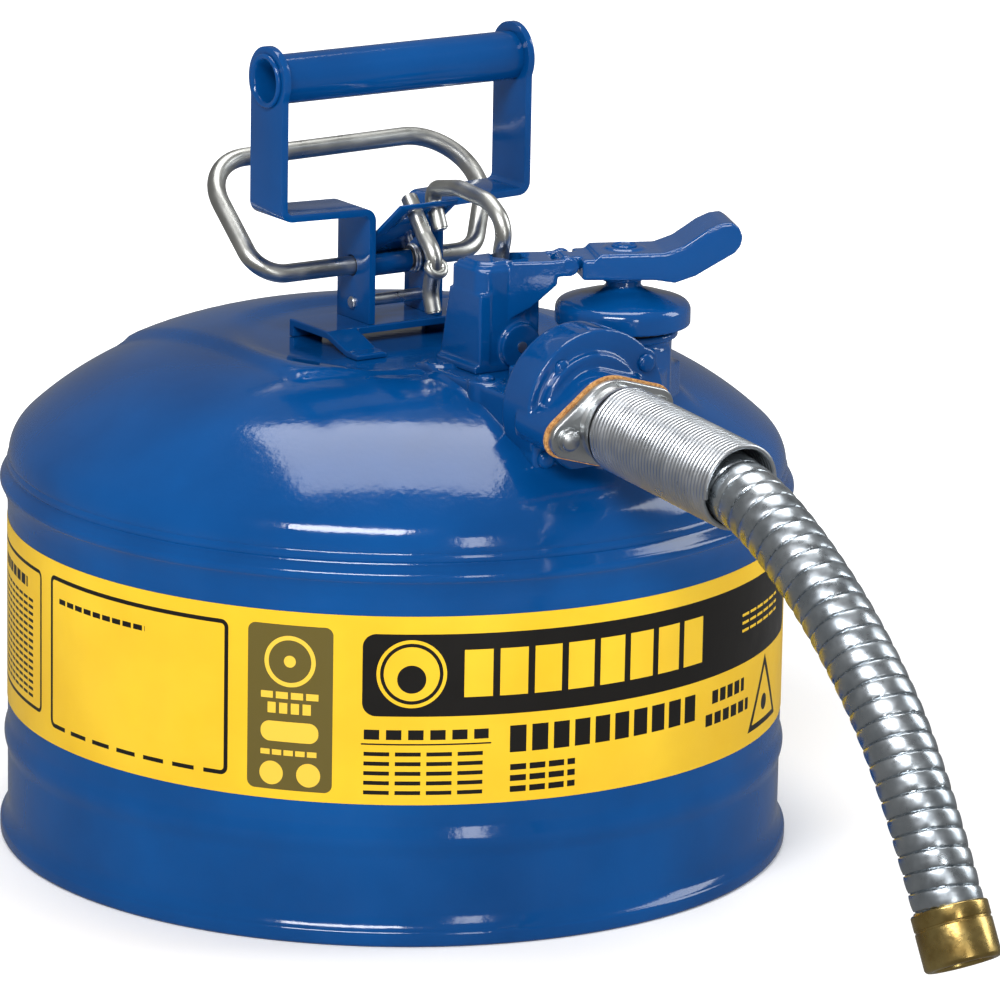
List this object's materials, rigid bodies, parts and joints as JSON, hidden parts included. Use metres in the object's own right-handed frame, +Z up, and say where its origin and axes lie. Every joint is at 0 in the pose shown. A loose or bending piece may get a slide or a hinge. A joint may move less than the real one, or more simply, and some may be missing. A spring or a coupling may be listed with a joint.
{
  "type": "safety gas can",
  "caption": "Round sealed steel fuel can with a spring-loaded fill lid, carrying handle with squeeze trigger, and a flexible metal pouring hose.",
  "frame": {"origin": "centre of the can's base, at the height of its lower rim", "axes": "+Z up along the can's axis, -Y towards the pouring hose, +X along the grip towards the fill lid's side"},
  "size_m": [0.2984, 0.5154, 0.3049],
  "materials": {
    "can_blue": "gloss",
    "band_print": "gloss",
    "zinc": "satin",
    "bright_wire": "polished",
    "brass_end": "satin",
    "seal_rubber": "matte",
    "tan_gasket": "matte, fibre filled",
    "mesh_steel": "woven"
  },
  "bodies": {
    "can": {"body_shell": "can_blue", "bottom_pan": "can_blue", "label_band": "band_print", "top_dome": "can_blue", "handle_strap_left": "can_blue", "handle_strap_right": "can_blue", "grip_tube": "can_blue", "upright_tie_pin": "zinc", "handle_bridge": "can_blue", "trigger_spring": "zinc", "manifold_body": "can_blue", "vent_tube": "zinc", "fill_screen": "mesh_steel", "pour_screen": "mesh_steel", "manifold_screws": "can_blue", "port_gasket": "tan_gasket", "hose_flange": "zinc", "hose_spud": "zinc", "lock_washers": "zinc", "flange_screws": "zinc", "spring_sleeve": "bright_wire", "pour_hose": "zinc", "hose_ferrule": "brass_end", "lever_bracket": "can_blue", "bracket_pin": "zinc", "lid_hinge_pin": "zinc", "valve_spring": "zinc"},
    "trigger": {"trigger_loop": "zinc", "trigger_plate": "can_blue"},
    "link": {"push_hook": "zinc", "tail_hook": "zinc"},
    "lid": {"thumb_lever": "can_blue", "lid_rivet": "can_blue", "lid_cap": "can_blue", "lid_gasket": "seal_rubber", "relief_spring": "zinc"},
    "valve": {"valve_rod": "zinc", "valve_disc": "zinc", "valve_seal": "seal_rubber"}
  },
  "joints": [
    {"name": "trigger_squeeze", "type": "hinge", "parent": "can", "child": "trigger", "pos_m": [0, 0.0085, 0.2185], "axis": [1, 0, 0], "range_deg": [0, 16], "stiffness_Nm_per_rad": 1.2, "springref_deg": -14.32},
    {"name": "link_swing", "type": "hinge", "parent": "trigger", "child": "link", "pos_m": [0, -0.0129, 0.2416], "axis": [1, 0, 0], "range_deg": [-16.05, 0]},
    {"name": "valve_push", "type": "slide", "parent": "can", "child": "valve", "axis": [0, 0, -1], "range_m": [0, 0.00695], "stiffness_N_per_m": 400, "springref_m": -0.006, "deforming": ["valve_spring"]},
    {"name": "lid_lift", "type": "hinge", "parent": "can", "child": "lid", "pos_m": [0.02475, -0.0724, 0.231], "axis": [-0.3907, -0.9205, 0], "range_deg": [0, 65], "stiffness_Nm_per_rad": 0.6, "springref_deg": -34.38}
  ],
  "couplings": [
    {"joint": "link_swing", "follows": "trigger_squeeze", "ratio": -1},
    {"joint": "valve_push", "follows": "trigger_squeeze", "m_per_rad": 0.024709}
  ]
}
